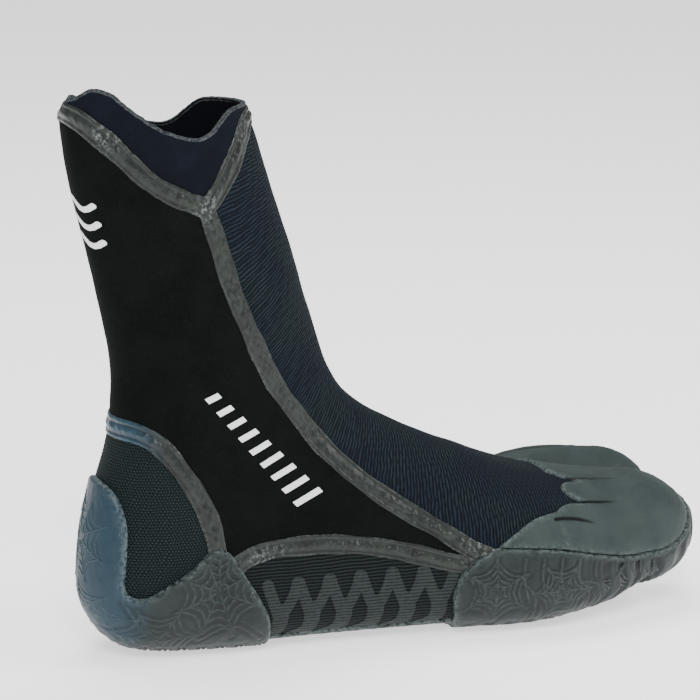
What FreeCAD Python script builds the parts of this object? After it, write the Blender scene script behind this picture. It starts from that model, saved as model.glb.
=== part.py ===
"""Split-toe neoprene surf boot for a right foot, in millimetres.

+X points to the toes, +Y to the inner side of the foot, +Z up, and the ground is z = 0.
The boot is a set of nested skins.  A skin is a loft through closed sections that fan
round the ankle, joined to a smaller loft for the big toe.  "offset" is the distance of
a skin from the outer face of the neoprene: positive outside it, negative inside.
Each piece is the layer between two skins, cut to its outline seen from the side or top.
"""
import FreeCAD
import Part
import math
import os

# ---- driving dimensions -------------------------------------------------------------
NEOPRENE = 3.0           # thickness of the neoprene panels
LINING = 1.0             # thickness of the fleece sock glued inside them
GAITER = 2.0             # thickness of the collar gaiter
RUBBER = 2.6             # thickness of the moulded outsole on the sides of the foot
SOLE_DROP = 2.2          # extra rubber under the foot, trimmed flat on the ground
CAP = 1.6                # thickness of the moulded toe cap
TAPE = 1.1               # thickness of the liquid seam tape
TAPE_WIDTH = 8.5
PRINT = 0.4              # thickness of the printed films
FOOTBED = 3.0
RIM_BEAD = 1.0           # depth of the cut edge strip on top of the gaiter
SHIFT_X = 1.8            # brings the box's centre to x = 0

# Stations of the foot and leg, from the toes round the heel to the collar.  Each has the
# point on the front or top line (x, z), the point on the sole or back line (x, z), the
# half widths to the outer and inner side, the share of the height at which it is widest,
# and the squareness of its upper and lower half (2 is an ellipse).
STATIONS = [
    (110, 58, 110, 13.0, 40.0, 8.5, 0.42, 2.3, 3.0),
    (94, 60.5, 94, 8.5, 45.5, 10.0, 0.40, 2.25, 3.2),
    (80, 63, 80, 6.0, 48.0, 20.0, 0.38, 2.2, 3.3),
    (66, 67, 66, 4.0, 49.0, 36.0, 0.36, 2.15, 3.4),
    (48, 73, 48, 3.0, 47.5, 42.0, 0.33, 2.1, 3.4),
    (26, 82.5, 24, 3.0, 43.0, 40.0, 0.30, 2.05, 3.2),
    (6, 91.5, -8, 3.0, 38.5, 36.5, 0.28, 2.0, 3.0),
    (-10, 100, -44, 3.0, 35.5, 34.0, 0.28, 2.0, 2.8),
    (-22, 110, -88, 3.0, 34.0, 33.0, 0.30, 2.0, 2.5),
    (-29, 121, -126.5, 7.0, 33.0, 32.0, 0.34, 2.0, 2.3),
    (-33.5, 132, -141.5, 24.0, 32.0, 31.0, 0.40, 2.0, 2.15),
    (-37, 144, -142, 47.0, 31.0, 30.5, 0.42, 2.0, 2.1),
    (-40.5, 155, -138, 71.0, 30.0, 30.0, 0.45, 2.0, 2.1),
    (-44.5, 168, -131, 97.0, 29.0, 29.0, 0.47, 2.05, 2.1),
    (-49, 182, -129, 127.0, 28.0, 28.0, 0.48, 2.1, 2.1),
    (-54.5, 199, -134.5, 162.0, 27.0, 27.0, 0.5, 2.1, 2.1),
    (-61, 218, -143, 196.0, 26.5, 26.5, 0.5, 2.1, 2.1),
    (-67, 238, -149, 228.0, 26.5, 26.5, 0.5, 2.1, 2.1),
    (-72, 258, -152, 258.0, 27.0, 27.0, 0.5, 2.1, 2.1),
]
NOSE_LENGTH = 36.0               # from the first station to the tip of the smaller toes
NOSE_TIP = (-3.0, 34.5)          # y, z of that tip
# Stations of the big toe: x, top z, bottom z, centre y, half width.
BIG_TOE = [
    (116, 59.5, 12.0, 32.5, 16.5),
    (98, 62, 9.0, 31.5, 17.5),
    (80, 62.5, 7.0, 29.5, 18.5),
    (60, 60, 5.5, 26.0, 19.0),
    (40, 58, 6.0, 22.0, 18.0),
]
BIG_NOSE_LENGTH = 30.0
BIG_NOSE_TIP = (30.0, 35.0)
BIG_SHAPE = (0.42, 2.2, 3.0)     # widest share, squareness above and below
NOSE_ANGLES = (88, 76, 62, 46, 30, 15)   # stations of a rounded nose, degrees from its root
ROUND = 2.1                      # squareness of a section right at a nose's tip
SECTION_POINTS = 24

# ---- outlines seen from the side (x, z) ----------------------------------------------
NOTCH = (-94, 200)               # where the collar tape and the front seam meet
COLLAR_BACK_ARM = [(-165, 244), (-150, 241.5), (-138, 232), (-128, 222), (-119, 213), (-108, 206), NOTCH]
COLLAR_FRONT_ARM = [NOTCH, (-87, 208), (-80, 219), (-75, 228), (-69, 235.5), (-50, 240)]
COLLAR_RIM = [(-165, 248), (-150, 247), (-142, 252), (-134, 250), (-127, 244), (-114, 235),
              (-100, 230), (-92, 231), (-86, 236), (-80, 240.5), (-70, 241.5), (-50, 242)]
FRONT_SEAM = [NOTCH, (-88, 182), (-80, 157), (-65, 124), (-51, 104), (-38, 88), (-21, 72),
              (-3, 59), (12, 49), (25, 40), (38, 34)]
MIDFOOT_SEAM = [(-91, 36), (-84, 43), (-76, 47), (-65, 49), (-50, 49), (-37, 48), (-19, 45),
                (0, 40), (13, 36), (25, 33.5), (38, 34)]
HEEL_SEAM = [(-145, 102), (-131, 103), (-124, 102.5), (-116, 98), (-107, 86), (-99, 72),
             (-94, 58), (-91, 36)]
HEEL_CUP_EDGE = [(-150, 80), (-138, 80), (-134, 78), (-131.5, 72), (-130, 60), (-131, 45), (-131.5, 36),
                 (-129, 31.5), (-123, 31.5), (-117, 35), (-105, 43), (-97, 50), (-91.5, 52)]
HEEL_CUP_FRONT = [(-91.5, 52), (-86, 48), (-80, 38), (-73, 26), (-68, 15), (-64, -5)]
TOE_RUBBER_REAR = [(24, -5), (17, 10), (15, 18), (16, 25), (20, 32), (27, 37), (35, 41)]
CAP_LINE = [(35, 41), (44, 40), (63, 38), (82, 34), (100, 30.5), (118, 30), (130, 33),
            (138, 38), (143, 45), (150, 52)]
CAP_SIDE = [(35, 41), (45, 47), (53, 51), (61, 52.5), (68, 53)]
CAP_TOP = [(70, -62), (67, -50), (65, -45), (64.5, -42), (67, -39), (75, -36.5), (71.5, -33.5), (71.5, -30),
           (74, -27), (78, -24.5), (73, -19.5), (69, -11), (64, 0), (60, 13), (58, 26), (57, 38),
           (56, 62)]         # x, y from above, with the tips of two toe lobes
TOE_PARTING = [(60, 15), (84, 14.5), (89, 13.2), (96, 11.8), (112, 12), (190, 12.5)]   # x, y between the toes
SIDE_PRINT = ((-93, 118), (-50, 70))          # ends of the printed band of bars
SIDE_PRINT_BARS = 9
SIDE_PRINT_HEIGHTS = (6.0, 13.0)              # bar height at the first and the last end
EMBLEM_CENTRE = (-3.0, 194.0)                 # y, z of the three waves behind the leg
EMBLEM_WAVES = (-8.0, 0.0, 8.0)               # z of each wave from the centre
MIDFOOT_PRINT_X = (-66, -50, -33.5, -17, -1)  # stem positions of the printed Y shapes
SOLE_PANEL_TOP = 9.0             # the bottom neoprene panel turns up to this height
TOE_BOX_REAR = 82.0              # x of the joint under the cap, where the toe box panel starts
FOOTBED_TOP = [(-150, 16), (-128, 14.5), (-118, 11), (-88, 10.4), (66, 10.8), (80, 12.6),
               (94, 15.6), (110, 20), (125, 27)]
TOE_SPLIT = [(70, 15.5), (84, 15.5), (98, 17), (112, 17.5), (126, 17)]   # x, y of the groove
STITCH = (3.0, 0.9, 0.5)         # length, width and height of one stitch
STITCH_PITCH = 5.0
STITCH_INSET = 2.2               # from the rubber's edge
FAR = 200.0                      # beyond every face of the boot

V = FreeCAD.Vector


# ---- skins -----------------------------------------------------------------------------
def section(row, offset, drop):
    """Points round one station, moved outwards by offset and down by drop."""
    fx, fz, bx, bz, centre_y, outer, inner, share, upper, lower = row[:10]
    length = math.hypot(fx - bx, fz - bz)
    ux, uz = (fx - bx) / length, (fz - bz) / length
    cx, cz = bx + share * (fx - bx), bz + share * (fz - bz)
    points = []
    for i in range(SECTION_POINTS):
        turn = 2 * math.pi * i / SECTION_POINTS
        co, si = math.cos(turn), math.sin(turn)
        width = (inner if co >= 0 else outer) + offset
        height = length * (1 - share) + offset if si >= 0 else length * share + offset + drop
        power = upper if si >= 0 else lower
        angle = math.atan2(height * si, width * co)
        reach = (abs(math.cos(angle) / width) ** power + abs(math.sin(angle) / height) ** power) ** (-1 / power)
        across, along = reach * math.cos(angle), reach * math.sin(angle)
        points.append(V(cx + along * ux + SHIFT_X, centre_y + across, cz + along * uz))
    return points


def nose(first, tip, length, offset):
    """Stations of a rounded nose in front of the first station, from its tip backwards.

    The last number of a station is its size, by which the offset shrinks towards the tip.
    """
    fx, fz, bx, bz, centre_y, outer, inner, share, upper, lower = first
    tip_y, tip_z = tip
    rows = []
    for degrees in NOSE_ANGLES:
        size = math.cos(math.radians(degrees))
        x = fx + (length + offset) * math.sin(math.radians(degrees))
        left = tip_y + (centre_y - outer - tip_y) * size
        right = tip_y + (centre_y + inner - tip_y) * size
        middle = tip_y + (centre_y - tip_y) * size
        rows.append((x, tip_z + (fz - tip_z) * size, x, tip_z + (bz - tip_z) * size,
                     middle, middle - left, right - middle,
                     share, ROUND + (upper - ROUND) * size, ROUND + (lower - ROUND) * size, size))
    return rows


def between(rows):
    """The rows with one more between each pair, on a smooth curve through them all."""
    out = []
    for i, row in enumerate(rows[:-1]):
        before, after, far = rows[max(i - 1, 0)], rows[i + 1], rows[min(i + 2, len(rows) - 1)]
        out.append(row)
        out.append(tuple((9 * (a + b) - p - q) / 16 for p, a, b, q in zip(before, row, after, far)))
    return out + [rows[-1]]


def sharpened(points, closed):
    """Poles whose cubic B-spline runs through the points."""
    last = len(points) - 1
    out = []
    for i, point in enumerate(points):
        if closed or 0 < i < last:
            out.append(point - (points[i - 1] - point * 2 + points[(i + 1) % (last + 1)]) * (1 / 6))
        else:
            out.append(point)
    return out


def loft(rows, offset, drop):
    """Solid inside one smooth surface through the stations, with flat ends."""
    rings = [sharpened(section(row, offset * row[10], drop * row[10]), True) for row in between(rows)]
    lines = [sharpened([ring[i] for ring in rings], False) for i in range(SECTION_POINTS)]
    count = len(rings)
    surface = Part.BSplineSurface()
    surface.buildFromPolesMultsKnots(
        lines, [1] * (SECTION_POINTS + 1), [4] + [1] * (count - 4) + [4],
        [float(i) for i in range(SECTION_POINTS + 1)], [float(i) for i in range(count - 2)],
        True, False, 3, 3)
    side = surface.toShape()
    ends = []
    for edge in side.Edges:
        if edge.isClosed() and not any(edge.isSame(e) for e in ends):
            ends.append(edge)
    faces = [side] + [Part.Face(Part.Wire([edge])) for edge in ends]
    shell = Part.makeShell(faces)
    shell.sewShape()
    solid = Part.Solid(shell)
    if solid.Volume < 0:
        solid.reverse()
    return solid


def main_body(offset, drop=0.0):
    """Foot and leg.  Inner skins reach a little higher, so that a cut always goes through."""
    stations = [s[:4] + (0.0,) + s[4:] for s in STATIONS]
    rows = nose(stations[0], NOSE_TIP, NOSE_LENGTH, offset) + [s + (1.0,) for s in stations]
    front_x, _, back_x, _ = rows[-1][:4]
    top = 258.0 - 2 * offset
    rows[-1] = (front_x, top, back_x, top) + rows[-1][4:]
    return loft(rows, offset, drop)


def big_toe_body(offset, drop=0.0):
    stations = [(x, top, x, bottom, centre, half, half) + BIG_SHAPE for x, top, bottom, centre, half in BIG_TOE]
    rows = nose(stations[0], BIG_NOSE_TIP, BIG_NOSE_LENGTH, offset) + [s + (1.0,) for s in stations]
    return loft(rows, offset, drop)


def skin(offset, drop=0.0):
    return main_body(offset, drop).fuse(big_toe_body(offset, drop))


# ---- outlines turned into cutting prisms -----------------------------------------------
def outline_face(chains, place):
    """Face inside chains of points joined end to end.  A chain of one point is a corner."""
    chains = [[place(*point) for point in chain] for chain in chains]
    edges = []
    for i, chain in enumerate(chains):
        if len(chain) == 2:
            edges.append(Part.makeLine(chain[0], chain[1]))
        elif len(chain) > 2:
            curve = Part.BSplineCurve()
            curve.interpolate(Points=chain)
            edges.append(curve.toShape())
        following = chains[(i + 1) % len(chains)][0]
        if chain[-1].distanceToPoint(following) > 1e-6:
            edges.append(Part.makeLine(chain[-1], following))
    return Part.Face(Part.Wire(edges))


def prism(*chains, side=0):
    """Solid whose side view is the outline of (x, z) chains.

    side 0 runs through the whole boot, -1 is its outer half and +1 its inner half.
    """
    y0 = 0.0 if side > 0 else -FAR
    y1 = 0.0 if side < 0 else FAR
    return outline_face(chains, lambda x, z: V(x + SHIFT_X, y0, z)).extrude(V(0, y1 - y0, 0))


def upright(*chains):
    """Solid over all heights whose top view is the outline of (x, y) chains."""
    return outline_face(chains, lambda x, y: V(x + SHIFT_X, y, -FAR)).extrude(V(0, 0, 3 * FAR))


def rearward(*chains):
    """Solid through the back of the leg whose rear view is the outline of (y, z) chains."""
    return outline_face(chains, lambda y, z: V(-FAR, y, z)).extrude(V(FAR / 2, 0, 0))


def offset_line(points, distance):
    """The points moved sideways by a distance, to the left of their direction."""
    out = []
    for i, (x, z) in enumerate(points):
        ax, az = points[max(i - 1, 0)]
        bx, bz = points[min(i + 1, len(points) - 1)]
        length = math.hypot(bx - ax, bz - az)
        out.append((x - (bz - az) / length * distance, z + (bx - ax) / length * distance))
    return out


def strip(points, width):
    """The two chains on either side of a line."""
    return offset_line(points, width / 2), offset_line(points, -width / 2)[::-1]


def block(x0, x1, z0, z1, side=0):
    return prism([(x0, z0), (x1, z0)], [(x1, z1), (x0, z1)], side=side)


def layer(outer, inner, keep, remove=()):
    """The material between two skins, inside the keep solid and outside the remove solids."""
    shape = outer.common(keep).cut(inner)
    for tool in remove:
        shape = shape.cut(tool)
    return shape


def save(name, shape, smallest=0.5):
    """Write the solids of a shape, without a boolean's slivers."""
    solids = [s for s in shape.Solids if s.Volume > smallest]
    result = solids[0] if len(solids) == 1 else Part.makeCompound(solids)
    result.exportStep(f"parts/{name}.step")
    print(f"{name:28s} {len(solids):3d} solids {result.Volume:9.1f} mm3")


# ---- regions ------------------------------------------------------------------------------
def below(points):
    return prism(points, [(FAR, points[-1][1])], [(FAR, -20)], [(-FAR, -20)], [(-FAR, points[0][1])])


def lowered(points, drop):
    return [(x, z - drop) for x, z in points]


COLLAR_SEAM = (COLLAR_BACK_ARM, COLLAR_FRONT_ARM)
UNDER_RIM = below(COLLAR_RIM)
GROUND = block(-FAR, FAR, -50, 0)
HEEL_CUP = prism(HEEL_CUP_EDGE, HEEL_CUP_FRONT, [(-170, -5)], [(-170, 80)])
TOE_RUBBER = prism(TOE_RUBBER_REAR, CAP_LINE, [(FAR, 52)], [(FAR, -5)])
ABOVE_CAP_LINE = prism(CAP_LINE, [(FAR, 52)], [(FAR, FAR)], [(35, FAR)])
CAP_FRONT = upright(CAP_TOP, [(FAR, 62)], [(FAR, -62)])
CAP_FLANK = prism(CAP_SIDE, [(68, 0)], [(35, 0)])
CAP_REGION = ABOVE_CAP_LINE.common(CAP_FRONT.fuse(CAP_FLANK))
HEEL_TAPE = prism(*strip(HEEL_SEAM, TAPE_WIDTH))
COLLAR_BACK_TAPE = prism(*strip(COLLAR_BACK_ARM, TAPE_WIDTH))
COLLAR_FRONT_TAPE = prism(*strip(COLLAR_FRONT_ARM, TAPE_WIDTH))
FRONT_TAPE = prism(*strip(FRONT_SEAM, TAPE_WIDTH))
MIDFOOT_TAPE = prism(*strip(MIDFOOT_SEAM, TAPE_WIDTH))

# ---- skins, from the inside out -------------------------------------------------------------
FOOT_SPACE = skin(-NEOPRENE - LINING)
PANEL_BACK = skin(-NEOPRENE)
GAITER_BACK = main_body(-GAITER)
FACE = skin(0)
PRINT_FACE = skin(PRINT)
TAPE_FACE = skin(TAPE)
CAP_FACE = skin(CAP)
BEAD_FACE = skin(CAP + 0.6)
RUBBER_FACE = skin(RUBBER, SOLE_DROP)
STITCH_FACE = skin(RUBBER + STITCH[2], SOLE_DROP)


# ---- the inside --------------------------------------------------------------------------
def sock_lining():
    under_seam = prism(*COLLAR_SEAM, [(FAR, 240)], [(FAR, -20)], [(-FAR, -20)], [(-FAR, 244)])
    return layer(PANEL_BACK, FOOT_SPACE, under_seam)


def footbed():
    return FOOT_SPACE.common(below(FOOTBED_TOP))


# ---- the neoprene panels ----------------------------------------------------------------
def shaft_panel():
    region = prism(COLLAR_BACK_ARM, FRONT_SEAM, MIDFOOT_SEAM[::-1], HEEL_SEAM[::-1])
    return layer(FACE, PANEL_BACK, region)


def instep_panel():
    region = prism(COLLAR_FRONT_ARM, [(TOE_BOX_REAR, 240), (TOE_BOX_REAR, 31)], FRONT_SEAM[::-1])
    return layer(FACE, PANEL_BACK, region)


def heel_panel():
    region = prism(HEEL_SEAM, [(-91, SOLE_PANEL_TOP)], [(-165, SOLE_PANEL_TOP)])
    return layer(FACE, PANEL_BACK, region)


def midfoot_panel(side):
    region = prism(MIDFOOT_SEAM, [(TOE_BOX_REAR, 31)], [(TOE_BOX_REAR, SOLE_PANEL_TOP)],
                   [(-91, SOLE_PANEL_TOP)], side=side)
    return layer(FACE, PANEL_BACK, region)


def sole_panel():
    return layer(FACE, PANEL_BACK, block(-FAR, TOE_BOX_REAR, -5, SOLE_PANEL_TOP))


def toe_box(big_toe):
    """The hidden panel round the toes, in two halves that meet in the groove between them."""
    far_side = FAR if big_toe else -FAR
    half = upright(TOE_PARTING, [(190, far_side)], [(60, far_side)])
    return layer(FACE, PANEL_BACK, block(TOE_BOX_REAR, 190, -5, FAR).common(half))


def toe_box_small_toes():
    return toe_box(False)


def toe_box_big_toe():
    return toe_box(True)


def collar_gaiter():
    region = prism(COLLAR_BACK_ARM, COLLAR_FRONT_ARM, lowered(COLLAR_RIM, RIM_BEAD)[::-1])
    return layer(FACE, GAITER_BACK, region)


def collar_rim_edge():
    return layer(FACE, GAITER_BACK, prism(COLLAR_RIM, lowered(COLLAR_RIM, RIM_BEAD)[::-1]))


# ---- the moulded rubber -----------------------------------------------------------------
def heel_outsole():
    return layer(RUBBER_FACE, FACE, HEEL_CUP, [GROUND])


def forefoot_outsole():
    return layer(RUBBER_FACE, FACE, TOE_RUBBER, [GROUND])


def arch_sole():
    """Thin wear patch under the arch, between the two outsoles."""
    return layer(skin(1.8), FACE, block(-75, 26, -5, 6.5), [HEEL_CUP, TOE_RUBBER])


def toe_cap():
    return layer(CAP_FACE, FACE, CAP_REGION)


def toe_split_bead():
    """Sealing bead in the groove between the big toe and the others."""
    return layer(BEAD_FACE, CAP_FACE, upright(*strip(TOE_SPLIT, 3.0)), [TOE_RUBBER])


# ---- the seam tapes ---------------------------------------------------------------------
def collar_tape_rear():
    return layer(TAPE_FACE, FACE, COLLAR_BACK_TAPE.common(UNDER_RIM))


def collar_tape_front():
    return layer(TAPE_FACE, FACE, COLLAR_FRONT_TAPE.common(UNDER_RIM), [COLLAR_BACK_TAPE])


def heel_seam_tape():
    return layer(TAPE_FACE, FACE, HEEL_TAPE, [HEEL_CUP])


def front_seam_tape(side):
    half = block(-FAR, FAR, -5, FAR + 60, side=side)
    return layer(TAPE_FACE, FACE, FRONT_TAPE.common(half),
                 [COLLAR_BACK_TAPE, COLLAR_FRONT_TAPE, TOE_RUBBER, CAP_REGION])


def midfoot_seam_tape(side):
    half = block(-FAR, FAR, -5, FAR, side=side)
    return layer(TAPE_FACE, FACE, MIDFOOT_TAPE.common(half), [HEEL_TAPE, HEEL_CUP, FRONT_TAPE, TOE_RUBBER])


# ---- prints and stitches ------------------------------------------------------------------
def side_print(side):
    """Row of slanted bars that grow towards the toes."""
    (x0, z0), (x1, z1) = SIDE_PRINT
    length = math.hypot(x1 - x0, z1 - z0)
    ux, uz = (x1 - x0) / length, (z1 - z0) / length
    bars = []
    for i in range(SIDE_PRINT_BARS):
        share = i / (SIDE_PRINT_BARS - 1)
        cx, cz = x0 + share * (x1 - x0), z0 + share * (z1 - z0)
        half = (SIDE_PRINT_HEIGHTS[0] * (1 - share) + SIDE_PRINT_HEIGHTS[1] * share) / 2
        lean, wide = 0.35 * half, 1.5
        corners = [(-wide - lean, -half), (wide - lean, -half), (wide + lean, half), (-wide + lean, half)]
        chains = [[(cx + a * ux - b * uz, cz + a * uz + b * ux)] for a, b in corners]
        bars.append(prism(*chains, side=side))
    return layer(PRINT_FACE, FACE, Part.makeCompound(bars))


def back_emblem():
    """Three plain wave strokes."""
    cy, cz = EMBLEM_CENTRE
    waves = []
    for dz in EMBLEM_WAVES:
        wave = [(cy + t, cz + dz + 2.2 * math.sin(t / 10 * math.pi)) for t in (-10, -5, 0, 5, 10)]
        waves.append(rearward(*strip(wave, 2.6)))
    return layer(PRINT_FACE, FACE, Part.makeCompound(waves))


def midfoot_print(side):
    """Row of Y shapes with a foot."""
    shapes = []
    for x in MIDFOOT_PRINT_X:
        left = prism(*strip([(x - 7, 37), (x - 4, 30), (x, 22)], 3.2), side=side)
        right = prism(*strip([(x + 7, 38), (x + 4, 30), (x, 22)], 3.2), side=side)
        stem = prism(*strip([(x, 24), (x + 0.5, 15), (x - 1.5, 10.5), (x - 6, 7.5)], 4.0), side=side)
        shapes.extend([left, right, stem])
    return layer(PRINT_FACE, FACE, shapes[0].fuse(shapes[1:]), [MIDFOOT_TAPE, HEEL_CUP, TOE_RUBBER])


def stitch_prisms(line):
    """Small blocks of one pitch along a line of (x, z) points."""
    blocks = []
    length, width, _ = STITCH
    travelled = 0.0
    for (ax, az), (bx, bz) in zip(line, line[1:]):
        run = math.hypot(bx - ax, bz - az)
        ux, uz = (bx - ax) / run, (bz - az) / run
        while travelled < run:
            start, end = travelled, travelled + length
            corners = [(start, -width / 2), (end, -width / 2), (end, width / 2), (start, width / 2)]
            blocks.append(prism(*[[(ax + s * ux - t * uz, az + s * uz + t * ux)] for s, t in corners]))
            travelled += STITCH_PITCH
        travelled -= run
    return Part.makeCompound(blocks)


def heel_cup_stitching():
    line = offset_line(HEEL_CUP_EDGE + HEEL_CUP_FRONT[1:-1], -STITCH_INSET)[3:-1]
    return layer(STITCH_FACE, RUBBER_FACE, stitch_prisms(line))


PIECES = {
    "sock_lining": sock_lining, "footbed": footbed, "shaft_panel": shaft_panel,
    "instep_panel": instep_panel, "heel_panel": heel_panel, "sole_panel": sole_panel,
    "toe_box_small_toes": toe_box_small_toes, "toe_box_big_toe": toe_box_big_toe,
    "collar_gaiter": collar_gaiter, "collar_rim_edge": collar_rim_edge,
    "heel_outsole": heel_outsole, "forefoot_outsole": forefoot_outsole, "arch_sole": arch_sole,
    "toe_cap": toe_cap, "toe_split_bead": toe_split_bead, "collar_tape_rear": collar_tape_rear,
    "collar_tape_front": collar_tape_front, "heel_seam_tape": heel_seam_tape,
    "back_emblem": back_emblem, "heel_cup_stitching": heel_cup_stitching,
}
SIDED_PIECES = {
    "midfoot_panel": midfoot_panel, "front_seam_tape": front_seam_tape,
    "midfoot_seam_tape": midfoot_seam_tape, "side_print": side_print, "midfoot_print": midfoot_print,
}

os.makedirs("parts", exist_ok=True)
for piece, build in PIECES.items():
    save(piece, build())
for piece, build in SIDED_PIECES.items():
    save(piece + "_lateral", build(-1))
    save(piece + "_medial", build(1))
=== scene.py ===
import bpy
import math
import numpy as np
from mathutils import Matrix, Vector
from mathutils.bvhtree import BVHTree


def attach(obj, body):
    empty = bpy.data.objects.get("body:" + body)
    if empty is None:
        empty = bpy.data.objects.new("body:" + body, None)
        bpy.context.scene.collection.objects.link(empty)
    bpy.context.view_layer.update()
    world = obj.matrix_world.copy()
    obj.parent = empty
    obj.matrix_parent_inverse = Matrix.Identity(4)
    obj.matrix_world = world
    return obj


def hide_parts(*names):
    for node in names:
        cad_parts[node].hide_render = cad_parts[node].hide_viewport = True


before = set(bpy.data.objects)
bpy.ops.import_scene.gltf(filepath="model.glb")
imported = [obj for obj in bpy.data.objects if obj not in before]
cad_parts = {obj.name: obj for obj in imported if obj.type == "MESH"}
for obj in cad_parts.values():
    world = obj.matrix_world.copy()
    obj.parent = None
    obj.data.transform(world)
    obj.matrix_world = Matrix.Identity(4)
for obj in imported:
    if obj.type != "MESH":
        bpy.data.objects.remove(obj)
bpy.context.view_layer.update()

# ---- shape of the boot, in millimetres -------------------------------------------------------------
# The numbers are the CAD model's, but for the cap's rear edge from above, the midfoot print and the
# closer steps round the toes' ends.
SHIFT_X = 1.8
STATIONS = [
    (110, 58, 110, 13.0, 40.0, 8.5, 0.42, 2.3, 3.0),
    (94, 60.5, 94, 8.5, 45.5, 10.0, 0.40, 2.25, 3.2),
    (80, 63, 80, 6.0, 48.0, 20.0, 0.38, 2.2, 3.3),
    (66, 67, 66, 4.0, 49.0, 36.0, 0.36, 2.15, 3.4),
    (48, 73, 48, 3.0, 47.5, 42.0, 0.33, 2.1, 3.4),
    (26, 82.5, 24, 3.0, 43.0, 40.0, 0.30, 2.05, 3.2),
    (6, 91.5, -8, 3.0, 38.5, 36.5, 0.28, 2.0, 3.0),
    (-10, 100, -44, 3.0, 35.5, 34.0, 0.28, 2.0, 2.8),
    (-22, 110, -88, 3.0, 34.0, 33.0, 0.30, 2.0, 2.5),
    (-29, 121, -126.5, 7.0, 33.0, 32.0, 0.34, 2.0, 2.3),
    (-33.5, 132, -141.5, 24.0, 32.0, 31.0, 0.40, 2.0, 2.15),
    (-37, 144, -142, 47.0, 31.0, 30.5, 0.42, 2.0, 2.1),
    (-40.5, 155, -138, 71.0, 30.0, 30.0, 0.45, 2.0, 2.1),
    (-44.5, 168, -131, 97.0, 29.0, 29.0, 0.47, 2.05, 2.1),
    (-49, 182, -129, 127.0, 28.0, 28.0, 0.48, 2.1, 2.1),
    (-54.5, 199, -134.5, 162.0, 27.0, 27.0, 0.5, 2.1, 2.1),
    (-61, 218, -143, 196.0, 26.5, 26.5, 0.5, 2.1, 2.1),
    (-67, 238, -149, 228.0, 26.5, 26.5, 0.5, 2.1, 2.1),
    (-72, 258, -152, 258.0, 27.0, 27.0, 0.5, 2.1, 2.1),
]
NOSE_LENGTH, NOSE_TIP = 36.0, (-3.0, 34.5)
BIG_TOE = [(116, 59.5, 12.0, 32.5, 16.5), (98, 62, 9.0, 31.5, 17.5), (80, 62.5, 7.0, 29.5, 18.5),
           (60, 60, 5.5, 26.0, 19.0), (40, 58, 6.0, 22.0, 18.0)]
BIG_NOSE_LENGTH, BIG_NOSE_TIP = 30.0, (30.0, 35.0)
BIG_SHAPE = (0.42, 2.2, 3.0)
NOSE_ANGLES = (89, 82, 74, 64, 52, 38, 24, 12)

NOTCH = (-94, 200)
COLLAR_BACK_ARM = [(-165, 244), (-150, 241.5), (-138, 232), (-128, 222), (-119, 213), (-108, 206), NOTCH]
COLLAR_FRONT_ARM = [NOTCH, (-87, 208), (-80, 219), (-75, 228), (-69, 235.5), (-50, 240)]
COLLAR_RIM = [(-165, 248), (-150, 247), (-142, 252), (-134, 250), (-127, 244), (-114, 235),
              (-100, 230), (-92, 231), (-86, 236), (-80, 240.5), (-70, 241.5), (-50, 242)]
FRONT_SEAM = [NOTCH, (-88, 182), (-80, 157), (-65, 124), (-51, 104), (-38, 88), (-21, 72),
              (-3, 59), (12, 49), (25, 40), (38, 34)]
MIDFOOT_SEAM = [(-91, 36), (-84, 43), (-76, 47), (-65, 49), (-50, 49), (-37, 48), (-19, 45),
                (0, 40), (13, 36), (25, 33.5), (38, 34)]
HEEL_SEAM = [(-145, 102), (-131, 103), (-124, 102.5), (-116, 98), (-107, 86), (-99, 72),
             (-94, 58), (-91, 36)]
HEEL_CUP_EDGE = [(-150, 80), (-138, 80), (-134, 78), (-131.5, 72), (-130, 60), (-131, 45), (-131.5, 36),
                 (-129, 31.5), (-123, 31.5), (-117, 35), (-105, 43), (-97, 50), (-91.5, 52)]
HEEL_CUP_FRONT = [(-91.5, 52), (-86, 48), (-80, 38), (-73, 26), (-68, 15), (-64, -5)]
TOE_RUBBER_REAR = [(24, -5), (17, 10), (15, 18), (16, 25), (20, 32), (27, 37), (35, 41)]
CAP_LINE = [(35, 41), (44, 40), (63, 38), (82, 34), (100, 30.5), (118, 30), (130, 33),
            (138, 38), (143, 45), (150, 52)]
CAP_SIDE = [(35, 41), (45, 47), (53, 51), (61, 52.5), (68, 53)]
# The toe cap's rear edge from above: the outer flank, two round toe lobes with a slit after each, and
# a long sweep to the inner side.  A lobe is its tip's x, the slit's x behind it, and its first and last y.
LITTLE_LOBE, SECOND_LOBE = (65, 82, -42, -34), (74, 86, -34, -20)
CAP_SWEEP = [(73, -12), (72, 2), (68, 22), (57, 62)]


def lobe(tip, slit, first, last, from_tip=False, steps=8):
    """Points round a lobe, an elliptic arc in plan; from_tip leaves out its first half."""
    start = 0.0 if from_tip else -1.0
    shares = [start + (1 - start) * i / steps for i in range(steps + 1)]
    middle, half = (first, last - first) if from_tip else ((first + last) / 2, (last - first) / 2)
    return [(tip + (slit - tip) * (1 - math.sqrt(1 - t * t)), middle + half * t) for t in shares]


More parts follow.
